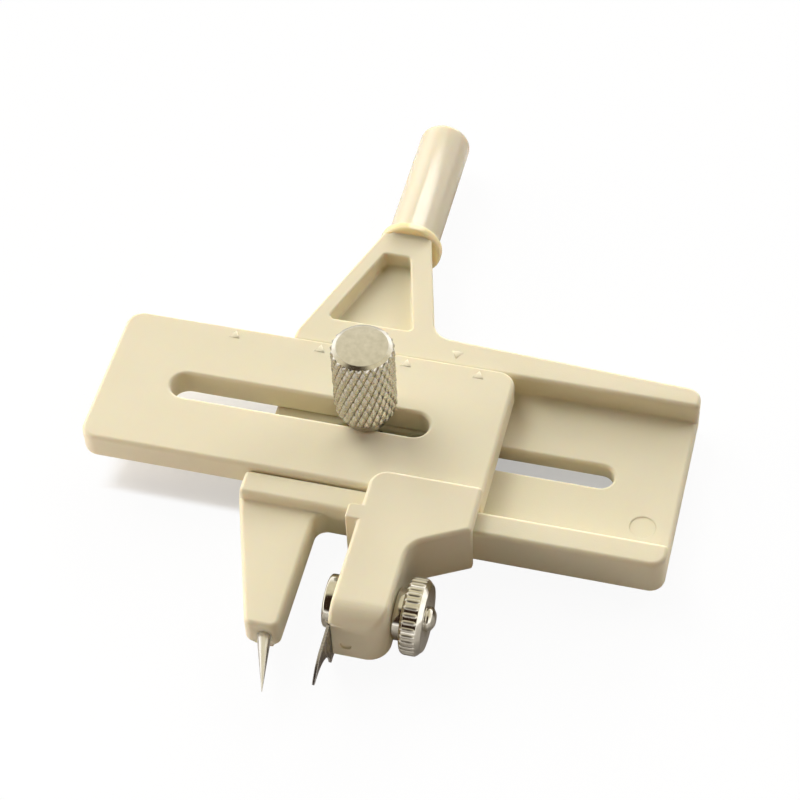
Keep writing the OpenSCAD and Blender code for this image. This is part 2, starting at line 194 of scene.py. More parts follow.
def spread(tree, value, low, high, start=0.3, end=0.7):
    ranged = add_node(
        tree, "ShaderNodeMapRange", Value=value, From_Min=start, From_Max=end, To_Min=low, To_Max=high,
    )
    return ranged.outputs["Result"]


def two_tones(tree, share, first, second):
    mix = add_node(tree, "ShaderNodeMix", {"data_type": "RGBA"})
    tree.links.new(share, mix.inputs[0])
    for socket, tone in ((mix.inputs[6], first), (mix.inputs[7], second)):
        feed(tree, socket, tone if isinstance(tone, bpy.types.NodeSocket) else (*tone, 1.0))
    return mix.outputs[2]


def add_bump(tree, shader, height, distance):
    bump = add_node(tree, "ShaderNodeBump", Height=height, Distance=distance, Strength=1.0)
    link(tree, bump.outputs["Normal"], shader, "Normal")


def let_light_in(shader, weight, radius, depth):
    shader.inputs["Subsurface Weight"].default_value = weight
    shader.inputs["Subsurface Radius"].default_value = radius
    shader.inputs["Subsurface Scale"].default_value = depth


print("helpers for finishes are ready")

# %% [markdown]
# ## Moulded plastic
#
# The two plates are satin beige plastic. Real mouldings are never one flat colour: the pigment
# clouds a little, the tool's spark-eroded walls leave a fine matt grain, and handling polishes some
# patches. Painting an image could show that; noise at three sizes does it without one. Light sinks
# a little into the plastic, except in the thin index marks, where that would only lose light.

# %% Plate plastic
plate_tones = ((0.80, 0.735, 0.535), (0.815, 0.75, 0.555))
plate_grain_depth = 0.012 * MM

plate_plastic, tree, shader = new_finish("plate_plastic", plate_tones[0], 0.45)
on_piece = place_on_piece(tree)
clouds = spread(tree, noise(tree, on_piece, 70), 0.0, 1.0)
link(tree, two_tones(tree, clouds, *plate_tones), shader, "Base Color")
link(tree, spread(tree, noise(tree, on_piece, 420), 0.38, 0.5), shader, "Roughness")
add_bump(tree, shader, noise(tree, on_piece, 4200, 2.0), plate_grain_depth)
shader.inputs["Specular IOR Level"].default_value = 0.32
let_light_in(shader, 0.3, (1.0, 0.6, 0.25), 1.5 * MM)

solid_plastic = plate_plastic.copy()
solid_plastic.name = "solid_plastic"
solid_plastic.node_tree.nodes["Principled BSDF"].inputs["Subsurface Weight"].default_value = 0.0
print("plastics:", plate_plastic.name, solid_plastic.name)

# %% [markdown]
# The stem is the same kind of plastic from a polished mould, so it is glossy and light goes deeper
# into it. Its tone is set darker than the plates', which is painted shade. Its thin flange lets so
# much light through that it looks warmer than the bar, and that glow is painted into the colour. A
# second material could show it, but the flange is one piece with the stem, so the painted tone
# changes with the height instead: a Map Range on Y goes from the stem's tone to the flange's.

# %% Stem plastic
# the stem's tones are the plates' plastic set darker: painted shade
stem_shaded_tones = ((0.715, 0.645, 0.47), (0.73, 0.66, 0.485))
# the flange's tone is a painted glow of the light that passes through the thin flange
flange_glow_tone = (0.88, 0.735, 0.44)
flange_glow_from = 0.2 * MM
flange_glow_to = -0.6 * MM
stem_grain_depth = 0.0008 * MM

stem_plastic, tree, shader = new_finish("stem_plastic", stem_shaded_tones[0], 0.2)
on_piece = place_on_piece(tree)
clouds = spread(tree, noise(tree, on_piece, 90), 0.0, 1.0)
up_the_stem = split_xyz(tree, on_piece)["Y"]
# painted glow: towards the flange the colour turns to the warm flange tone
flange_glow_share = spread(tree, up_the_stem, 0.0, 1.0, flange_glow_from, flange_glow_to)
stem_shaded_tone = two_tones(tree, clouds, *stem_shaded_tones)
link(tree, two_tones(tree, flange_glow_share, stem_shaded_tone, flange_glow_tone), shader, "Base Color")
link(tree, spread(tree, noise(tree, on_piece, 250), 0.16, 0.2), shader, "Roughness")
add_bump(tree, shader, noise(tree, on_piece, 3000, 2.0), stem_grain_depth)
shader.inputs["Specular IOR Level"].default_value = 0.42
let_light_in(shader, 0.7, (1.0, 0.7, 0.4), 3 * MM)
print("plastic:", stem_plastic.name)

# %% [markdown]
# ## Nickel
#
# The nuts and screws are turned on a lathe and nickel plated, so fine rings run round their axis.
# A Wave texture of rings, centred on the axis by a Mapping node, gives that; stains and scuffs are
# noise. The thumb nut's top was faced with a coarser cut, so one test on the height makes the top
# rougher, and a second paints shade into the grooves by making the core between the diamonds darker.

# %% Turned nickel
nickel_tones = ((0.52, 0.49, 0.415), (0.63, 0.595, 0.52))
# a dark tone for the grooves between the diamonds: painted shade
groove_shade_tone = (0.23, 0.20, 0.15)
groove_middle = 14.65 * MM
groove_reach = 7.1 * MM
faced_roughness = 0.2
ring_share = 0.4


def turned_nickel(name, centre, axis, smooth, worn, scuff_depth, faced_from=None):
    material, tree, shader = new_finish(name, nickel_tones[0], smooth, 1.0)
    on_piece = place_on_piece(tree, centre)
    rings = add_node(
        tree, "ShaderNodeTexWave", {"wave_type": "RINGS", "rings_direction": axis},
        Vector=on_piece, Scale=420.0, Distortion=3.0, Detail=2.0,
    ).outputs["Fac"]
    stains = spread(tree, noise(tree, on_piece, 900, 5.0), 0.0, 1.0)
    scuffs = noise(tree, on_piece, 2600, 4.0)
    tone = two_tones(tree, stains, *nickel_tones)
    roughness = spread(tree, scuffs, smooth, worn)
    if faced_from is not None:
        height = split_xyz(tree, on_piece)["Z"]
        faced = calc(tree, "GREATER_THAN", height, faced_from)
        roughness = calc(tree, "MULTIPLY_ADD", faced, faced_roughness, roughness)
        # painted shade: in the knurled band the core between the diamonds is darkened
        in_grooves = calc(tree, "COMPARE", height, groove_middle, groove_reach)
        tone = two_tones(tree, in_grooves, tone, groove_shade_tone)
    link(tree, tone, shader, "Base Color")
    link(tree, roughness, shader, "Roughness")
    add_bump(tree, shader, calc(tree, "MULTIPLY_ADD", rings, ring_share, scuffs), scuff_depth)
    return material


bolt_axis = (3.2 * MM, -43.7 * MM, 0.0)
clamp_axis = (0.0, -77.6 * MM, 0.0)
faced_top = 22.15 * MM
thumb_nickel = turned_nickel("thumb_nickel", bolt_axis, "Z", 0.16, 0.26, 0.004 * MM, faced_top)
clamp_nickel = turned_nickel("clamp_nickel", clamp_axis, "X", 0.09, 0.16, 0.003 * MM)
knurled_nickel = turned_nickel("knurled_nickel", bolt_axis, "Z", 0.22, 0.32, 0.001 * MM)
ridged_nickel = turned_nickel("ridged_nickel", clamp_axis, "X", 0.28, 0.38, 0.001 * MM)
print("nickel:", thumb_nickel.name, clamp_nickel.name, knurled_nickel.name, ridged_nickel.name)

# %% [markdown]
# ## Steel
#
# The needle is ground along its length and the blade is hardened and polished, which leaves
# straight scratches. An anisotropic shader would stretch the highlights only; noise that is drawn
# out along the piece also shows the scratches themselves.

# %% Ground steel
scratch_depth = 0.006 * MM


def ground_steel(name, dark, light, stretch, rough):
    material, tree, shader = new_finish(name, dark, rough, 1.0)
    scratches = noise(tree, place_on_piece(tree, stretch=stretch), 3000, 4.0)
    tone = two_tones(tree, spread(tree, scratches, 0.0, 1.0), dark, light)
    link(tree, tone, shader, "Base Color")
    link(tree, spread(tree, scratches, rough - 0.07, rough + 0.1), shader, "Roughness")
    add_bump(tree, shader, scratches, scratch_depth)
    return material


along_needle = (1.0, 0.08, 1.0)
along_blade = (1.0, 1.0, 0.06)
needle_steel = ground_steel("needle_steel", (0.60, 0.575, 0.53), (0.72, 0.70, 0.66), along_needle, 0.3)
blade_steel = ground_steel("blade_steel", (0.26, 0.24, 0.23), (0.36, 0.34, 0.32), along_blade, 0.28)
print("steel:", needle_steel.name, blade_steel.name)

# %% [markdown]
# ## A clean copy of a solid
#
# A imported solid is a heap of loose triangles, which a Bevel can't follow. The copy is merged, and
# flat faces are joined again. Large faces with holes would fold over when their edges are rounded,
# so a few planes cut them first and stay as seams. Raised marks are pressed flat here, because a
# node tree sets finer ones later.

# %% Merge and cut a copy
merge_distance = 0.002 * MM
seam_distance = 0.03 * MM
flat_angle = math.radians(0.6)
straight_angle = 0.05
mark_reach = 1.8


def near(point, x, y, reach):
    return math.hypot(point.x - x * MM, point.y - y * MM) < reach * MM


def level_marks(shape, face, places):
    for corner in shape.verts:
        if any(near(corner.co, x, y, mark_reach) for x, y in places) and corner.co.z > face - 0.01 * MM:
            corner.co.z = face
    bmesh.ops.remove_doubles(shape, verts=shape.verts, dist=0.005 * MM)
    bmesh.ops.dissolve_degenerate(shape, edges=shape.edges, dist=0.005 * MM)
    shape.normal_update()


def is_spare(corner):
    return len(corner.link_edges) == 2 and corner.calc_edge_angle(0.0) < straight_angle


def merged_copy(node, x_cuts=(), y_cuts=(), marks=(), face=0.0):
    mesh = bpy.data.meshes.new(node + "_piece")
    shape = bmesh.new()
    shape.from_mesh(nodes[node].data)
    bmesh.ops.remove_doubles(shape, verts=shape.verts, dist=merge_distance)
    level_marks(shape, face, marks)
    cuts = [(Vector((x * MM, 0, 0)), Vector((1, 0, 0))) for x in x_cuts]
    cuts += [(Vector((0, y * MM, 0)), Vector((0, 1, 0))) for y in y_cuts]
    for on_cut, across in cuts:
        everything = shape.verts[:] + shape.edges[:] + shape.faces[:]
        bmesh.ops.bisect_plane(shape, geom=everything, dist=0.02 * MM, plane_co=on_cut, plane_no=across)
        for edge in shape.edges:
            if all(abs((corner.co - on_cut).dot(across)) < seam_distance for corner in edge.verts):
                edge.seam = True
    bmesh.ops.dissolve_limit(
        shape, angle_limit=flat_angle, use_dissolve_boundaries=False,
        verts=shape.verts, edges=shape.edges, delimit={"SEAM"},
    )
    bmesh.ops.dissolve_verts(shape, verts=[corner for corner in shape.verts if is_spare(corner)])
    return shape, mesh


print("a copy is merged within", merge_distance / MM, "mm")

# %% [markdown]
# ## Moulded edges
#
# No moulding has knife edges: every corner of the steel tool has a small radius, and the thin
# bright lines along the plates' edges in the photo are those rounds. They could be built into the
# solid, but a Bevel modifier on the copy is lighter. Only edges that are really sharp get a weight.
# Along a curve of short edges the weights are evened out, so a round changes its width slowly.

# %% Weigh and round the edges
sharp_angle = math.radians(28)
in_line_angle = math.radians(25)
short_edge = 0.7 * MM
smoothing_passes = 60


def in_line(edge, other, corner):
    first = edge.other_vert(corner).co - corner.co
    second = corner.co - other.other_vert(corner).co
    return first.angle(second, math.pi) < in_line_angle


def weigh_edges(shape, weight_of, runs_out=lambda middle: False):
    layer = shape.edges.layers.float.new("bevel_weight_edge")
    for edge in shape.edges:
        middle = (edge.verts[0].co + edge.verts[1].co) / 2
        if len(edge.link_faces) == 2 and (edge.calc_face_angle(0.0) > sharp_angle or runs_out(middle)):
            edge[layer] = weight_of(edge, middle)
    rounded = [edge for edge in shape.edges if edge[layer] > 0]
    chains = {}
    for edge in rounded:
        if edge.calc_length() < short_edge:
            chains[edge] = [
                other for corner in edge.verts for other in corner.link_edges
                if other is not edge and other[layer] > 0 and in_line(edge, other, corner)
            ]
    for _ in range(smoothing_passes):
        for edge, others in chains.items():
            if others:
                edge[layer] = sum(other[layer] for other in others) / len(others)
    return len(rounded)


def show_piece(name, mesh, material):
    piece = bpy.data.objects.new(name, mesh)
    scene.collection.objects.link(piece)
    mesh.materials.clear()
    mesh.materials.append(material)
    mesh.polygons.foreach_set("use_smooth", [True] * len(mesh.polygons))
    return piece


def rounded_piece(name, shape, mesh, material, width, segments):
    shape.to_mesh(mesh)
    shape.free()
    piece = show_piece(name, mesh, material)
    bevel = piece.modifiers.new("rounded_edges", "BEVEL")
    bevel.limit_method = "WEIGHT"
    bevel.width = width
    bevel.segments = segments
    bevel.loop_slide = False
    bevel.use_clamp_overlap = False
    bevel.miter_outer = "MITER_SHARP"
    normals = piece.modifiers.new("flat_faces_stay_flat", "WEIGHTED_NORMAL")
    normals.weight = 80
    normals.keep_sharp = True
    return piece


print("edges over", round(math.degrees(sharp_angle)), "degrees are rounded")

# %% [markdown]
# ## The hollow under the flange
#
# Under the flange the web's face runs out into it in a hollow curve, as mouldings do where a thin
# wall meets a thick one. A separate strip would show its outline, so the top of the web's face is
# cut into a small grid, and its points are raised along a quarter of an ellipse. The hollow gets
# lower where the round flange draws back.

# %% Hollow under the flange
flange_radius = 5.6
flange_low = -1.9
web_face = 3.75
web_cut = -12
hollow_height = 3.2
hollow_depth = 0.6
flange_margin = 0.55
hollow_turns = [math.radians(turn) for turn in (0, 15, 30, 45, 60)]
hollow_levels = [flange_low - hollow_height * (1 - math.sin(turn)) for turn in hollow_turns]
hollow_columns = (-3.5, -2.5, -1.5, -0.5, 0.5, 1.5, 2.5, 3.5)


def web_front(shape, lowest):
    def inside(corner):
        return abs(corner.co.z - web_face * MM) < 0.01 * MM and corner.co.y > (lowest - 0.01) * MM

    facing = [face for face in shape.faces if face.normal.z > 0.99]
    return [face for face in facing if all(inside(corner) for corner in face.verts)]


def cut_front(shape, lowest, at, across):
    faces = web_front(shape, lowest)
    edges = {edge for face in faces for edge in face.edges}
    corners = {corner for face in faces for corner in face.verts}
    bmesh.ops.bisect_plane(
        shape, geom=list(corners) + list(edges) + faces, dist=0.01 * MM,
        plane_co=Vector(at) * MM, plane_no=Vector(across),
    )
    shape.normal_update()


def hollow_under_flange(shape):
    foot = hollow_levels[0]
    cut_front(shape, web_cut, (0, foot, 0), (0, 1, 0))
    for level in hollow_levels[1:]:
        cut_front(shape, foot, (0, level, 0), (0, 1, 0))
    for x in hollow_columns:
        cut_front(shape, foot, (x, 0, 0), (1, 0, 0))
    raised = {corner for face in web_front(shape, foot) for corner in face.verts}
    for corner in raised:
        x, y = corner.co.x / MM, corner.co.y / MM
        rim = math.sqrt(max(flange_radius ** 2 - x ** 2, 0.0))
        depth = min(max(rim - flange_margin - web_face, 0.0), hollow_depth)
        climb = min(max(1 - (flange_low - y) / hollow_height, 0.0), 1.0)
        corner.co.z += depth * (1 - math.sqrt(1 - climb ** 2)) * MM
    for edge in shape.edges:
        if all(corner.co.y > (flange_low - 0.05) * MM for corner in edge.verts):
            edge.smooth = False
    shape.normal_update()
    return len(raised)


print("hollow:", len(hollow_levels), "levels and", len(hollow_columns), "columns")

# %% [markdown]
# ## The frame
#
# The frame is the moulding with two rails, a slot, the web and the needle's leg. It is copied,
# hollowed and rounded in that order, so that the rounds follow the new points. Inner corners and
# the web's edges get half the width. Details that are smaller than the rounds, such as the round
# mark of a moulding pin, get a hair's width, and the needle's hole none.

# %% Frame moulding
edge_round = 0.8 * MM
slot_round = 0.8
inner_round = 0.5
hair_round = 0.18
bolt_line = bolt_axis[1]
rail_front = 3.75 * MM
frame_mark_at = (14.5, -26.9)
pin_mark_at = (50.9, -52.4)
needle_hole_at = (-2.8, -85.6)


def frame_weight(edge, middle):
    on_pin_mark = near(middle, *pin_mark_at, 2.3)
    under_flange = middle.y > -2 * MM
    at_heel = middle.y > -29 * MM and middle.x < -10 * MM
    at_leg_fillet = near(middle, 1.5, -63, 3.2) and middle.z < 2 * MM
    at_needle = near(middle, *needle_hole_at, 1.4) and middle.z < 0.4 * MM
    on_web = middle.y > -24 * MM and middle.x < 11 * MM
    in_slot = abs(middle.y - bolt_line) < 2.5 * MM
    if at_needle or under_flange:
        return 0.0
    if on_pin_mark or at_leg_fillet:
        return hair_round
    if on_web or at_heel:
        return inner_round
    if in_slot:
        return slot_round
    return 1.0 if edge.is_convex else inner_round


frame_x_cuts = (needle_hole_at[0], 0, frame_mark_at[0], 30, pin_mark_at[0])
frame_y_cuts = (web_cut, bolt_line / MM)
shape, mesh = merged_copy("frame", frame_x_cuts, frame_y_cuts, [frame_mark_at], rail_front)
raised = hollow_under_flange(shape)
count = weigh_edges(shape, frame_weight)
frame_piece = rounded_piece("frame_moulding", shape, mesh, plate_plastic, edge_round, 4)
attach(frame_piece, "frame")
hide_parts("frame")
print("frame: rounded", count, "edges and raised", raised, "points")

# %% [markdown]
# ## The slider
#
# The slider is the second moulding: a plate with a slot, a hook round the lower rail and the arm for
# the blade. It is made as the frame is. At the arm's front corner the round has to run on where the
# two faces become one, or it would end in a dent, so edges there count as sharp however flat.

# %% Slider moulding
slider_front = 4.65 * MM
mark_columns = (-23.2, -8.2, 6.8, 19.2)
gate_at = (10.15, -84.6)
narrow_round = 0.4


def slider_weight(edge, middle):
    on_top_edge = middle.y > -29.8 * MM
    in_blade_seat = middle.x < 8.9 * MM and middle.y < -71.9 * MM and middle.z < 4.2 * MM
    in_screw_hole = math.hypot(middle.y - clamp_axis[1], middle.z) < 2.4 * MM
    at_gate = near(middle, *gate_at, 1.1) and abs(middle.z + 0.85 * MM) < 1.1 * MM
    at_hook_end = middle.x > 24.5 * MM and middle.y < -62.7 * MM
    on_lug = middle.x < 7.3 * MM and middle.y < -62.7 * MM
    behind = middle.z < -3.5 * MM
    in_slot = abs(middle.y - bolt_line) < 2.7 * MM and -31.5 * MM < middle.x < 14.5 * MM
    if in_screw_hole:
        return 0.0
    if in_blade_seat or at_gate or behind:
        return hair_round
    if at_hook_end or on_lug or on_top_edge:
        return narrow_round
    if in_slot:
        return slot_round
    return 1.0 if edge.is_convex else inner_round


def at_arm_corner(middle):
    return near(middle, 13.7, -84.7, 0.6) and middle.z > 2.7 * MM


slider_x_cuts = sorted((*mark_columns, gate_at[0]))
slider_y_cuts = (bolt_line / MM, clamp_axis[1] / MM)
old_marks = [(x, -31.05) for x in mark_columns]
shape, mesh = merged_copy("slider", slider_x_cuts, slider_y_cuts, old_marks, slider_front)
count = weigh_edges(shape, slider_weight, at_arm_corner)
slider_piece = rounded_piece("slider_moulding", shape, mesh, plate_plastic, edge_round, 4)
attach(slider_piece, "slider")
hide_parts("slider")
print("slider: rounded", count, "edges")

# %% [markdown]
# ## Turned pieces
#
# The stem, the screw, the nuts' bodies and the needle are all round, so each is one outline spun
# about an axis. Blender's Spin or Screw tools do that; here the rings are written directly, which
# keeps the faces pointing outwards. An outline is a list of radius, height and corner radius, all
# in millimetres, and a helper first rounds its corners.

# %% Spin an outline
corner_steps = 4
crease_angle = math.radians(40)


def soften(outline):
    points = []
    last = len(outline) - 1
    for i, (r, h, radius) in enumerate(outline):
        corner = Vector((r, h))
        if radius == 0 or i in (0, last):
            points.append(corner)
            continue
        before = (Vector(outline[i - 1][:2]) - corner).normalized()
        after = (Vector(outline[i + 1][:2]) - corner).normalized()
        half = before.angle(after) / 2
        centre = corner + (before + after).normalized() * radius / math.sin(half)
        first = corner + before * radius / math.tan(half) - centre
        second = corner + after * radius / math.tan(half) - centre
        for k in range(corner_steps + 1):
            points.append(centre + first.slerp(second, k / corner_steps) * radius)
    return points


def spin(name, outline, place, material, segments=96):
    shape = bmesh.new()
    rings = []
    for r, h in soften(outline):
        turns = 1 if r < 1e-9 else segments
        angles = [2 * math.pi * k / segments for k in range(turns)]
        places = [(r * MM * math.cos(a), r * MM * math.sin(a), h * MM) for a in angles]
        rings.append([shape.verts.new(point) for point in places])
    for lower, upper in zip(rings, rings[1:]):
        for k in range(segments):
            low_pair = [lower[k % len(lower)], lower[(k + 1) % len(lower)]]
            high_pair = [upper[(k + 1) % len(upper)], upper[k % len(upper)]]
            corners = list(dict.fromkeys(low_pair + high_pair))
            if len(corners) > 2:
                shape.faces.new(corners)
    bmesh.ops.recalc_face_normals(shape, faces=shape.faces)
    mesh = bpy.data.meshes.new(name)
    shape.to_mesh(mesh)
    shape.free()
    mesh.transform(place)
    piece = show_piece(name, mesh, material)
    mesh.set_sharp_from_angle(angle=crease_angle)
    return piece


def axis_place(at, along):
    turn = Vector(along).to_track_quat("Z", "Y").to_matrix().to_4x4()
    return Matrix.Translation(Vector(at) * MM) @ turn


print("rounds in outlines have", corner_steps, "steps")

# %% [markdown]
# The stem is a plain round bar with a rounded end and a thin flange. Its spigot goes down into the
# web, where it isn't seen. The corner between stem and flange has a tiny radius, which catches a
# line of shade.

# %% Stem with its flange
stem_radius = 4.6
stem_top = 26.8
spigot_radius = 2.5
spigot_end = -5.4
stem_outline = [
    (0, spigot_end, 0), (spigot_radius, spigot_end, 0.3), (spigot_radius, flange_low, 0),
    (flange_radius, flange_low, 0.5), (flange_radius, 0, 0.35), (stem_radius, 0, 0.25),
    (stem_radius, stem_top, 1.2), (0, stem_top, 0),
]
stem = spin("finger_stem", stem_outline, axis_place((0, 0, 0), (0, 1, 0)), stem_plastic, 128)
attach(stem, "frame")
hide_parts("handle")
print("stem faces:", len(stem.data.polygons))

# %% [markdown]
# The needle is a steel pin that is pressed into the leg and ground to a long point. It leans, so
# that its tip is on the stem's axis. A wide corner radius in the outline gives the soft line where
# the point starts.

# %% Needle
needle_foot = Vector((*needle_hole_at, -1.0))
needle_tip = Vector((0.0, -96.29, 0.0))
lean = needle_tip - needle_foot
needle_outline = [
    (0, -12, 0), (1.05, -12, 0.2), (1.05, 1.1, 3.0), (0.06, 11.0, 0.0), (0, 11.1, 0),
]
needle = spin("needle_pin", needle_outline, axis_place(needle_foot, lean), needle_steel, 48)
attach(needle, "frame")
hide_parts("needle")
print("needle leans", round(math.degrees(lean.angle(Vector((0, -1, 0)))), 1), "degrees")

# %% [markdown]
# The blade screw has a low round head on the left of the arm and a domed end that looks out of the
# nut on the right. Its thread is hidden in the arm and the nut, so the shank stays plain.

# %% Blade screw
screw_outline = [
    (0, 0, 0), (4.3, 0, 0.45), (4.3, 1.9, 0.12), (2.0, 1.9, 0), (2.0, 16.55, 0.15),
    (1.72, 16.95, 0.4), (1.0, 17.4, 0.5), (0, 17.5, 0),
]
screw_start = 5.4
screw_place = axis_place((screw_start, clamp_axis[1] / MM, 0), (1, 0, 0))
screw = spin("blade_screw_turned", screw_outline, screw_place, clamp_nickel, 96)
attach(screw, "blade_screw")
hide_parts("blade_screw")
print("screw faces:", len(screw.data.polygons))

# %% [markdown]
# ## Trees for what repeats
#
# Index marks, knurling and ridges are one small shape set many times, which is what Geometry Nodes
# do well. Each tree gets named inputs for its sizes. The result is turned into a plain mesh, and the
# modifier goes again, so that nothing is left for the export to drop.

# %% Helpers for node trees
def new_tree(name, sizes):
    tree = bpy.data.node_groups.new(name, "GeometryNodeTree")
    tree.interface.new_socket("Geometry", in_out="INPUT", socket_type="NodeSocketGeometry")
    tree.interface.new_socket("Geometry", in_out="OUTPUT", socket_type="NodeSocketGeometry")
    for label, kind in sizes:
        tree.interface.new_socket(label, in_out="INPUT", socket_type="NodeSocket" + kind)
    given = tree.nodes.new("NodeGroupInput").outputs
    return tree, given, tree.nodes.new("NodeGroupOutput")


def grow(piece, tree, values):
    modifier = piece.modifiers.new(tree.name, "NODES")
    modifier.node_group = tree
    for item in tree.interface.items_tree:
        if item.in_out == "INPUT" and item.name in values:
            modifier[item.identifier] = values[item.name]
    ready = piece.evaluated_get(bpy.context.evaluated_depsgraph_get())
    mesh = bpy.data.meshes.new_from_object(ready)
    piece.modifiers.remove(modifier)
    piece.data = mesh
    return mesh


def coated(tree, geometry, material):
    return add_node(tree, "GeometryNodeSetMaterial", Geometry=geometry, Material=material).outputs[0]


def realized(tree, instances):
    return add_node(tree, "GeometryNodeRealizeInstances", Geometry=instances).outputs[0]


def joined(tree, *parts):
    node = tree.nodes.new("GeometryNodeJoinGeometry")
    for part in parts:
        link(tree, part, node, "Geometry")
    return node.outputs[0]


print("helpers for node trees are ready")

# %% [markdown]
# ## Index marks
#
# Low raised triangles on the slider's upper edge and one on the frame's rail show the setting. All
# are the same shape, so one tree puts a flat three-sided cone on each point it is given.

# %% Mark tree
mark_taper = 0.6
marks, given, made = new_tree(
    "index_marks", [("Radius", "Float"), ("Rise", "Float"), ("Turn", "Float"), ("Plastic", "Material")],
)
mark_top = calc(marks, "MULTIPLY", given["Radius"], mark_taper)
triangle = add_node(
    marks, "GeometryNodeMeshCone", Vertices=3, Radius_Top=mark_top,
    Radius_Bottom=given["Radius"], Depth=given["Rise"],
)
turned = add_node(marks, "FunctionNodeAxisAngleToRotation", Axis=(0, 0, 1), Angle=given["Turn"])
triangles = add_node(
    marks, "GeometryNodeInstanceOnPoints", Points=given["Geometry"],
    Instance=triangle.outputs["Mesh"], Rotation=turned.outputs[0],
)
solid = realized(marks, triangles.outputs[0])
link(marks, coated(marks, solid, given["Plastic"]), made, "Geometry")
print("mark tree:", len(marks.nodes), "nodes")

# %% [markdown]
# Each mark is sunk a little into the plate, which leaves no gap below it. The slider's marks point
# up at the rail, and the frame's mark points down at them. The marks move with different bodies, so
# they are two pieces.

# %% Marks on slider and frame
mark_radius = 1.27 * MM
mark_rise = 0.1 * MM
mark_sink = 0.05 * MM


def raise_marks(name, places, face, turn, body):
    mesh = bpy.data.meshes.new(name)
    mesh.from_pydata([(x * MM, y * MM, face - mark_sink) for x, y in places], [], [])
    piece = show_piece(name, mesh, solid_plastic)
    values = {"Radius": mark_radius, "Rise": mark_rise + mark_sink, "Turn": turn, "Plastic": solid_plastic}
    finished = grow(piece, marks, values)
    finished.polygons.foreach_set("use_smooth", [True] * len(finished.polygons))
    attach(piece, body)
    print(name, "has", len(places), "marks")


point_up = math.pi / 2
raise_marks("slider_marks", [(x, -31.37) for x in mark_columns], slider_front, point_up, "slider")
raise_marks("frame_mark", [(14.5, -26.63)], rail_front, -point_up, "frame")

# %% [markdown]
# ## Knurling
#
# Knurling is pressed into the thumb nut by two wheels, which leave two crossing sets of grooves
# with diamonds between them. Displacing a fine grid would need hundreds of thousands of faces. The
# tree makes one domed diamond instead: a square grid is sheared into a diamond, its middle is
# raised, and a flat copy closes it below.

# %% One diamond
diamond_stretch = 1.2
diamond_grid = 5
knurl, given, made = new_tree(
    "diamond_knurl",
    [
        ("Columns", "Int"), ("Rows", "Int"), ("Crest Radius", "Float"), ("Depth", "Float"),
        ("Row Step", "Float"), ("Start", "Float"), ("Chamfer Start", "Float"),
        ("Chamfer Slope", "Float"), ("Share", "Float"), ("Metal", "Material"),
    ],
)
square = add_node(
    knurl, "GeometryNodeMeshGrid", Size_X=2.0, Size_Y=2.0,
    Vertices_X=diamond_grid, Vertices_Y=diamond_grid,
).outputs["Mesh"]
u, v, _ = split_xyz(knurl, knurl.nodes.new("GeometryNodeInputPosition").outputs[0])
u_long = calc(knurl, "MULTIPLY", u, diamond_stretch)
across = calc(knurl, "MULTIPLY", calc(knurl, "SUBTRACT", u_long, v), 0.5)
along = calc(knurl, "MULTIPLY", calc(knurl, "ADD", u_long, v), 0.5)
u_rise = calc(knurl, "SUBTRACT", 1.0, calc(knurl, "MULTIPLY", u, u))
v_rise = calc(knurl, "SUBTRACT", 1.0, calc(knurl, "MULTIPLY", v, v))
domed_place = join_xyz(knurl, across, along, calc(knurl, "MULTIPLY", u_rise, v_rise))
dome = add_node(knurl, "GeometryNodeSetPosition", Geometry=square, Position=domed_place)
flat_place = join_xyz(knurl, across, along, 0.0)
base = add_node(knurl, "GeometryNodeSetPosition", Geometry=square, Position=flat_place)
under = add_node(knurl, "GeometryNodeFlipFaces", Mesh=base.outputs[0])
both = joined(knurl, dome.outputs[0], under.outputs[0])
diamond = add_node(knurl, "GeometryNodeMergeByDistance", Geometry=both, Distance=0.001).outputs[0]
print("one diamond:", len(knurl.nodes), "nodes")

# %% [markdown]
# The diamonds stand on a grid of points that is wound round the nut. Every second row is shifted by
# half a step, which makes the grooves cross. An Array modifier can't do that shift; the tree counts
# the points and works out row, angle and height from the count.

# %% Set the diamonds round the nut
root_radius = calc(knurl, "SUBTRACT", given["Crest Radius"], given["Depth"])
index = knurl.nodes.new("GeometryNodeInputIndex").outputs[0]
row = calc(knurl, "FLOOR", calc(knurl, "DIVIDE", calc(knurl, "ADD", index, 0.5), given["Columns"]))
stagger = calc(knurl, "MULTIPLY", calc(knurl, "MODULO", row, 2.0), 0.5)
step_angle = calc(knurl, "DIVIDE", 2 * math.pi, given["Columns"])
angle = calc(knurl, "MULTIPLY", calc(knurl, "ADD", index, stagger), step_angle)
cosine, sine = calc(knurl, "COSINE", angle), calc(knurl, "SINE", angle)
height = calc(knurl, "MULTIPLY_ADD", row, given["Row Step"], given["Start"])
root_x = calc(knurl, "MULTIPLY", cosine, root_radius)
root_y = calc(knurl, "MULTIPLY", sine, root_radius)
place = join_xyz(knurl, root_x, root_y, height)
total = calc(knurl, "MULTIPLY", given["Columns"], given["Rows"])
points = add_node(knurl, "GeometryNodePoints", Count=total, Position=place)
face_out = add_node(
    knurl, "FunctionNodeAxesToRotation", {"primary_axis": "Z", "secondary_axis": "Y"},
    Primary_Axis=join_xyz(knurl, cosine, sine, 0.0), Secondary_Axis=(0, 0, 1),
)
half_step = calc(knurl, "DIVIDE", math.pi, given["Columns"])
half_width = calc(knurl, "MULTIPLY", root_radius, calc(knurl, "TANGENT", half_step))
wide = calc(knurl, "MULTIPLY", half_width, given["Share"])
tall = calc(knurl, "MULTIPLY", given["Row Step"], given["Share"])
diamonds = add_node(
    knurl, "GeometryNodeInstanceOnPoints", Points=points.outputs[0], Instance=diamond,
    Rotation=face_out.outputs[0], Scale=join_xyz(knurl, wide, tall, given["Depth"]),
)
solid = realized(knurl, diamonds.outputs[0])
print("diamonds set:", len(knurl.nodes), "nodes")

# %% [markdown]
# Trimming is a Set Position: no point may lie below the knurl's start, above the end of the chamfer
# or outside the chamfer's cone. Points that go past are drawn in, which cuts the diamonds flat.

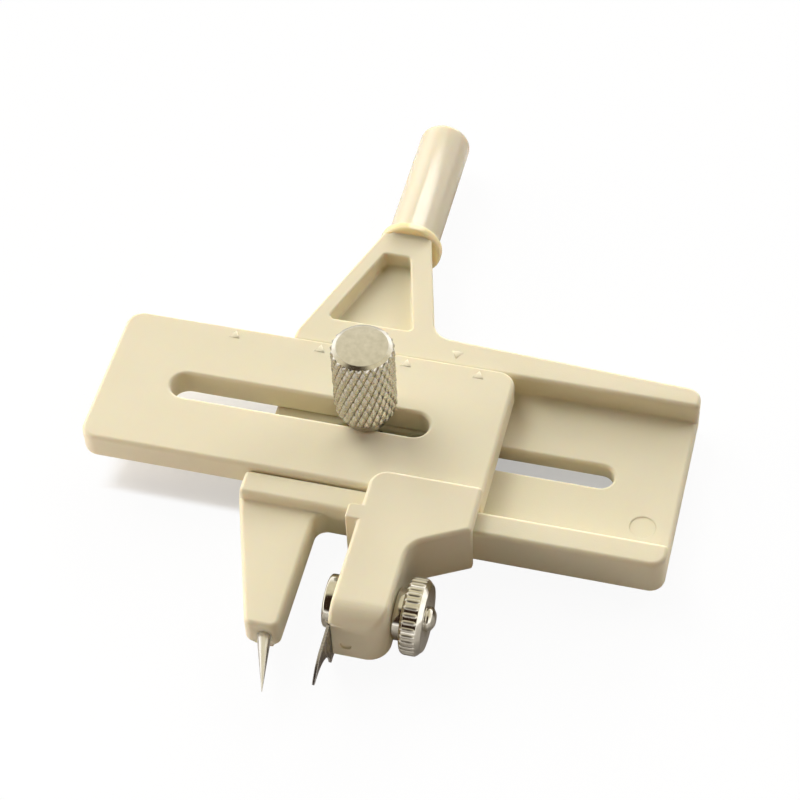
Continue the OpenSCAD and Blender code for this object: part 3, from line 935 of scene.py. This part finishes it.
# %% Trim the knurl and join it to the nut's body
x, y, z = split_xyz(knurl, knurl.nodes.new("GeometryNodeInputPosition").outputs[0])
chamfer_height = calc(knurl, "DIVIDE", given["Depth"], given["Chamfer Slope"])
top = calc(knurl, "ADD", given["Chamfer Start"], chamfer_height)
z_kept = calc(knurl, "MINIMUM", calc(knurl, "MAXIMUM", z, given["Start"]), top)
above_start = calc(knurl, "SUBTRACT", z_kept, given["Chamfer Start"])
past_top = calc(knurl, "MULTIPLY", above_start, given["Chamfer Slope"])
past_foot = calc(knurl, "SUBTRACT", calc(knurl, "ADD", given["Start"], given["Depth"]), z_kept)
past = calc(knurl, "MAXIMUM", calc(knurl, "MAXIMUM", past_top, past_foot), 0.0)
cone = calc(knurl, "SUBTRACT", given["Crest Radius"], past)
square_sum = calc(knurl, "ADD", calc(knurl, "MULTIPLY", x, x), calc(knurl, "MULTIPLY", y, y))
reach = calc(knurl, "SQRT", square_sum)
shrink = calc(knurl, "DIVIDE", calc(knurl, "MINIMUM", reach, cone), reach)
kept = join_xyz(knurl, calc(knurl, "MULTIPLY", x, shrink), calc(knurl, "MULTIPLY", y, shrink), z_kept)
trim = add_node(knurl, "GeometryNodeSetPosition", Geometry=solid, Position=kept).outputs[0]
together = joined(knurl, given["Geometry"], coated(knurl, trim, given["Metal"]))
link(knurl, together, made, "Geometry")
print("knurl tree:", len(knurl.nodes), "nodes")

# %% [markdown]
# ## Thumb nut
#
# The nut's body is spun first: a plain shoulder, a core at the depth of the grooves, a chamfer and a
# faced top. The tree then covers the core with diamonds. Counted on the photo there are 24 round the
# nut, and the grooves climb about 23 degrees off the axis.

# %% Thumb nut with its knurl
crest_radius = 5.25
groove_depth = 0.4
shoulder_radius = 3.6
shoulder_height = 2.8
nut_height = 17.5
chamfer_start = 16.85
top_radius = 4.2
bore_radius = 2.05
bore_end = 10.05
chamfer_slope = (crest_radius - top_radius) / (nut_height - chamfer_start)
core_radius = crest_radius - groove_depth + 0.02
core_end = chamfer_start + groove_depth / chamfer_slope
nut_outline = [
    (0, bore_end, 0), (bore_radius, bore_end, 0), (bore_radius, 0, 0), (shoulder_radius, 0, 0.2),
    (shoulder_radius, shoulder_height, 0.1), (core_radius, shoulder_height, 0.05),
    (core_radius, core_end, 0), (top_radius, nut_height, 0.08), (0, nut_height, 0),
]
thumb_nut = spin("thumb_nut_turned", nut_outline, Matrix.Identity(4), thumb_nickel, 96)
knurl_values = {
    "Columns": 24, "Rows": 11, "Crest Radius": crest_radius * MM, "Depth": groove_depth * MM,
    "Row Step": 1.54 * MM, "Start": shoulder_height * MM, "Chamfer Start": chamfer_start * MM,
    "Chamfer Slope": chamfer_slope, "Share": 0.9, "Metal": knurled_nickel,
}
nut_mesh = grow(thumb_nut, knurl, knurl_values)
nut_mesh.set_sharp_from_angle(angle=crease_angle)
nut_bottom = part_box("thumb_nut")[0].z
nut_mesh.transform(Matrix.Translation((bolt_axis[0], bolt_axis[1], nut_bottom)))
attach(thumb_nut, "thumb_nut")
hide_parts("thumb_nut")
print("thumb nut faces:", len(nut_mesh.polygons))

# %% [markdown]
# ## Blade nut
#
# The nut that holds the blade has straight ridges, which a fingertip can grip. One ridge is a short
# line with a round section that thins at both ends. The tree repeats it round the rim.

# %% Ridge tree
ridge_points = 9
ridge_sides = 10
end_thinning = 0.8
ridges, given, made = new_tree(
    "straight_ridges",
    [
        ("Count", "Int"), ("Ring Radius", "Float"), ("Ridge Radius", "Float"),
        ("Start", "Float"), ("Length", "Float"), ("Metal", "Material"),
    ],
)
ridge_end = calc(ridges, "ADD", given["Start"], given["Length"])
line = add_node(
    ridges, "GeometryNodeCurvePrimitiveLine",
    Start=join_xyz(ridges, 0.0, 0.0, given["Start"]), End=join_xyz(ridges, 0.0, 0.0, ridge_end),
)
finer = add_node(ridges, "GeometryNodeResampleCurve", Curve=line.outputs[0], Count=ridge_points)
along = ridges.nodes.new("GeometryNodeSplineParameter").outputs["Factor"]
from_middle = calc(ridges, "ABSOLUTE", calc(ridges, "MULTIPLY_ADD", along, 2.0, -1.0))
loss = calc(ridges, "MULTIPLY", calc(ridges, "POWER", from_middle, 6.0), end_thinning)
thin = calc(ridges, "SUBTRACT", 1.0, loss)
section = add_node(ridges, "GeometryNodeCurvePrimitiveCircle", Resolution=ridge_sides, Radius=1.0)
bar = add_node(
    ridges, "GeometryNodeCurveToMesh", Curve=finer.outputs[0], Profile_Curve=section.outputs[0],
    Scale=calc(ridges, "MULTIPLY", thin, given["Ridge Radius"]), Fill_Caps=True,
)
ring = add_node(ridges, "GeometryNodeMeshCircle", Vertices=given["Count"], Radius=given["Ring Radius"])
bars = add_node(ridges, "GeometryNodeInstanceOnPoints", Points=ring.outputs[0], Instance=bar.outputs[0])
solid = realized(ridges, bars.outputs[0])
together = joined(ridges, given["Geometry"], coated(ridges, solid, given["Metal"]))
link(ridges, together, made, "Geometry")
print("ridge tree:", len(ridges.nodes), "nodes")

# %% [markdown]
# The nut's body is a hub that presses on the arm, a rim under the ridges and a wide chamfer on the
# outer side. The bore stays open, because the screw's end shows in it.

# %% Blade nut with its ridges
ridge_count = 32
rim_radius = 6.2
ridge_radius = 0.5
ridge_rise = 0.2
ridge_margin = 0.1
hub_radius = 4.2
hub_length = 1.5
rim_length = 3.5
rim_end = hub_length + rim_length
rim_core = rim_radius - ridge_rise
inner_chamfer = 0.5
outer_chamfer = 0.75
nut_outline = [
    (bore_radius, 0, 0), (hub_radius, 0, 0.2), (hub_radius, hub_length, 0.1),
    (rim_core - inner_chamfer, hub_length, 0.1), (rim_core, hub_length + inner_chamfer, 0.1),
    (rim_core, rim_end - outer_chamfer, 0.15), (rim_core - outer_chamfer, rim_end, 0.15),
    (2.9, rim_end, 0.1), (bore_radius, rim_end - 0.7, 0.05), (bore_radius, 0, 0),
]
blade_nut = spin("blade_nut_turned", nut_outline, Matrix.Identity(4), clamp_nickel, 136)
ridge_values = {
    "Count": ridge_count, "Ring Radius": (rim_radius - ridge_radius) * MM,
    "Ridge Radius": ridge_radius * MM, "Start": (hub_length + ridge_margin) * MM,
    "Length": (rim_length - outer_chamfer + ridge_margin) * MM, "Metal": ridged_nickel,
}
nut_mesh = grow(blade_nut, ridges, ridge_values)
blade_nut_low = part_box("blade_nut")[0]
nut_mesh.transform(axis_place((blade_nut_low.x / MM, clamp_axis[1] / MM, 0), (1, 0, 0)))
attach(blade_nut, "blade_nut")
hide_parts("blade_nut")
print("blade nut faces:", len(nut_mesh.polygons))

# %% [markdown]
# ## Blade
#
# The blade is a thin stamped plate whose hooked end is ground to an edge. A bevel on the edges of
# the hook thins it; the edges of the tang are only half as round.

# %% Blade
hook_from = -85.6 * MM
tang_round = 0.5


def blade_weight(edge, middle):
    return 1.0 if middle.y < hook_from else tang_round


shape, mesh = merged_copy("blade")
count = weigh_edges(shape, blade_weight)
blade = rounded_piece("hook_blade", shape, mesh, blade_steel, 0.1 * MM, 2)
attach(blade, "blade")
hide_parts("blade")
print("blade: rounded", count, "edges")

# %% [markdown]
# ## Clamp bolt
#
# The bolt comes through both slots from the back and carries the thumb nut. Only its round head on
# the frame's back can be seen, so the solid's own shape with rounded edges is enough.

# %% Clamp bolt
shape, mesh = merged_copy("clamp_bolt")
count = weigh_edges(shape, lambda edge, middle: 1.0)
bolt = rounded_piece("clamp_bolt_turned", shape, mesh, thumb_nickel, 0.3 * MM, 2)
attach(bolt, "clamp_bolt")
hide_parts("clamp_bolt")
print("bolt: rounded", count, "edges")

# %% [markdown]
# ## Floor
#
# The photo is a catalogue picture on white. To the camera the floor is mostly its own glow, which is
# white whatever the lamps do, mixed with a plain white surface that keeps the tool's soft shadow. To
# all other rays it is pale paper. Seen through the slots the glow is weaker, because there the
# real floor lies in the plates' shade.

# %% Floor
paper_tone = (0.8, 0.79, 0.77)
white = (1.0, 1.0, 1.0)
plates_middle = (7 * MM, -43 * MM, 0)
plates_half = (47 * MM, 17 * MM)
glow_under_plates = 0.4
glow_elsewhere = 0.94
floor_reach = 2.0

floor_white, tree, shader = new_finish("floor_white", paper_tone, 1.0)
to_camera = tree.nodes.new("ShaderNodeLightPath").outputs["Is Camera Ray"]
link(tree, two_tones(tree, to_camera, paper_tone, white), shader, "Base Color")
shader.inputs["Specular IOR Level"].default_value = 0.0
under_plates = place_on_piece(tree, plates_middle, (1 / plates_half[0], 1 / plates_half[1], 1))
outward = add_node(tree, "ShaderNodeVectorMath", {"operation": "ABSOLUTE"})
link(tree, under_plates, outward, 0)
sides = split_xyz(tree, outward.outputs[0])
edge_share = calc(tree, "MAXIMUM", sides["X"], sides["Y"])
glow_share = spread(tree, edge_share, glow_under_plates, glow_elsewhere, 0.92, 1.0)
blend = tree.nodes.new("ShaderNodeMixShader")
link(tree, calc(tree, "MULTIPLY", to_camera, glow_share), blend, 0)
link(tree, shader.outputs[0], blend, 1)
link(tree, tree.nodes.new("ShaderNodeEmission").outputs[0], blend, 2)
link(tree, blend.outputs[0], tree.nodes["Material Output"], "Surface")

floor_height = cad_box[0][2] - 0.1 * MM
corners = [(-floor_reach, -floor_reach), (floor_reach, -floor_reach)]
corners += [(-x, -y) for x, y in corners]
mesh = bpy.data.meshes.new("floor")
mesh.from_pydata([(x, y, floor_height) for x, y in corners], [], [(0, 1, 2, 3)])
mesh.materials.append(floor_white)
floor = bpy.data.objects.new("floor", mesh)
scene.collection.objects.link(floor)
print("floor at", round(floor_height / MM, 2), "mm")

# %% [markdown]
# ## World
#
# Polished metal shows the room around it: bright walls low down, a warmer ceiling and a dark patch
# where the photographer stands. A photographed room would need an image, so the world paints these
# from the direction alone. Only reflections see it. The camera sees plain white, and other rays
# nothing, because the lamps light the tool.

# %% World
wall_tone = (1.9, 1.9, 1.9)
ceiling_tone = (1.0, 0.93, 0.70)
dark_tone = (0.05, 0.028, 0.018)
dark_middle = (-0.14, -0.72, 0.68)

world = bpy.data.worlds.new("studio")
scene.world = world
world.use_nodes = True
tree = world.node_tree
background = tree.nodes["Background"]
direction = tree.nodes.new("ShaderNodeTexCoord").outputs["Generated"]
overhead = spread(tree, split_xyz(tree, direction)["Z"], 0.0, 1.0, 0.3, 0.65)
room = two_tones(tree, overhead, wall_tone, ceiling_tone)
towards_viewer = add_node(tree, "ShaderNodeVectorMath", {"operation": "DOT_PRODUCT"})
link(tree, direction, towards_viewer, 0)
towards_viewer.inputs[1].default_value = dark_middle
dark_share = spread(tree, towards_viewer.outputs["Value"], 0.0, 1.0, 0.74, 0.86)
dim_room = two_tones(tree, dark_share, room, dark_tone)
path = tree.nodes.new("ShaderNodeLightPath").outputs
link(tree, two_tones(tree, path["Is Camera Ray"], dim_room, white), background, "Color")
mirrored = calc(tree, "MAXIMUM", path["Is Glossy Ray"], path["Is Transmission Ray"])
link(tree, calc(tree, "MAXIMUM", mirrored, path["Is Camera Ray"]), background, "Strength")
print("world: dim towards the viewer, pale elsewhere, white to the camera")

# %% [markdown]
# ## Windows
#
# The plates in the photo are bright from behind and from the left, and softly lit from everywhere
# else. Wide sun lamps give each direction its own strength and tone, at any pose of the tool. They
# stay out of reflections, which the world already fills.

# %% Windows
window_width = math.radians(35)


def window(name, round_from_x, height, strength, colour):
    lamp_data = bpy.data.lights.new(name, "SUN")
    lamp_data.energy = strength * math.pi
    lamp_data.angle = window_width
    lamp_data.color = colour
    lamp = bpy.data.objects.new(name, lamp_data)
    scene.collection.objects.link(lamp)
    turn = math.radians(round_from_x)
    rise = math.radians(height)
    flat = math.cos(rise)
    towards = Vector((flat * math.cos(turn), flat * math.sin(turn), math.sin(rise)))
    lamp.rotation_mode = "QUATERNION"
    lamp.rotation_quaternion = (-towards).to_track_quat("-Z", "Y")
    lamp.visible_glossy = False


window("back_window", 92, 15, 0.75, (1.0, 0.99, 0.98))
window("left_window", 180, 12, 0.5, (1.0, 0.9, 0.9))
window("corner_glow", 140, 35, 0.46, (1.0, 0.99, 0.95))
window("right_glow", 45, 32, 0.31, (0.97, 0.97, 1.0))
window("room_glow", 315, 25, 0.09, (1.0, 0.62, 0.36))
window("ceiling_glow", 160, 60, 0.28, (1.0, 0.99, 0.92))
print("windows:", len(bpy.data.lights))

# %% [markdown]
# ## Card lamps
#
# Two small lamps stand close by, as white cards do in a studio. One lies low on the left and lifts
# the shade on the leg and the arm's end. The other gives the glossy stem its long highlight; it is
# linked to the stem alone, so that the nut's top stays calm.

# %% Card lamps
def card_lamp(name, at, aim, size, radiance, colour):
    lamp_data = bpy.data.lights.new(name, "AREA")
    lamp_data.shape = "RECTANGLE"
    lamp_data.size, lamp_data.size_y = size
    lamp_data.energy = radiance * math.pi * size[0] * size[1]
    lamp_data.color = colour
    lamp = bpy.data.objects.new(name, lamp_data)
    scene.collection.objects.link(lamp)
    lamp.location = at
    lamp.rotation_mode = "QUATERNION"
    lamp.rotation_quaternion = (Vector(aim) - Vector(at)).to_track_quat("-Z", "Y")
    lamp.visible_camera = False
    return lamp


table_at = (-0.105, -0.14, 0.02)
table_aim = (-0.02, -0.06, 0.0)
table_card = card_lamp("table_card", table_at, table_aim, (0.06, 0.04), 5.0, (1.0, 0.9, 0.85))
table_card.visible_glossy = False
strip_at = (0.011, 0.049, 0.052)
strip_aim = (0.011, 0.013, 0.005)
strip = card_lamp("stem_strip", strip_at, strip_aim, (0.052, 0.045), 8.0, white)
strip.visible_diffuse = False
stem_only = bpy.data.collections.new("lit_by_strip")
stem_only.objects.link(stem)
strip.light_linking.receiver_collection = stem_only
scene.view_settings.view_transform = "Standard"
print("lamps:", len(bpy.data.lights))


print("sizes are written for", len(nodes), "nodes")
